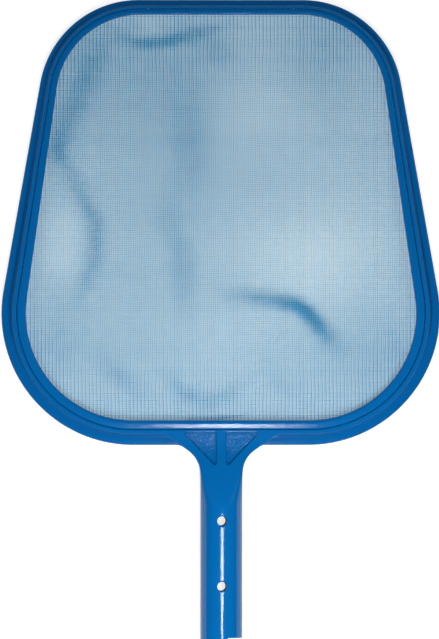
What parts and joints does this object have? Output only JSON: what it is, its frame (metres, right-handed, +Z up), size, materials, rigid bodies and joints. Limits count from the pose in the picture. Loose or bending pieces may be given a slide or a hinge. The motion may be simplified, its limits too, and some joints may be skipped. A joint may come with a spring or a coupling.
{
  "type": "leaf skimmer net",
  "caption": "Flat leaf skimmer head: a hollow spigot and gusset carry a wide rim, and a clamped ring holds fine net across it.",
  "frame": {"origin": "middle of the whole object's footprint, on the flat that the rim and the spigot lie on", "axes": "+X across the net, +Y from the pole towards the front lip, +Z up through the face with the ledge, the ring and the gusset's recesses"},
  "size_m": [0.297, 0.4352, 0.0286],
  "materials": {
    "frame_plastic": "glossy moulded blue plastic, stippled in the gusset's recesses",
    "ring_plastic": "glossy moulded blue plastic",
    "net_mesh": "fine woven mesh of pale blue plastic thread"
  },
  "bodies": {
    "root": {"main_frame": "frame_plastic", "retaining_ring": "ring_plastic", "net": "net_mesh"}
  },
  "joints": []
}
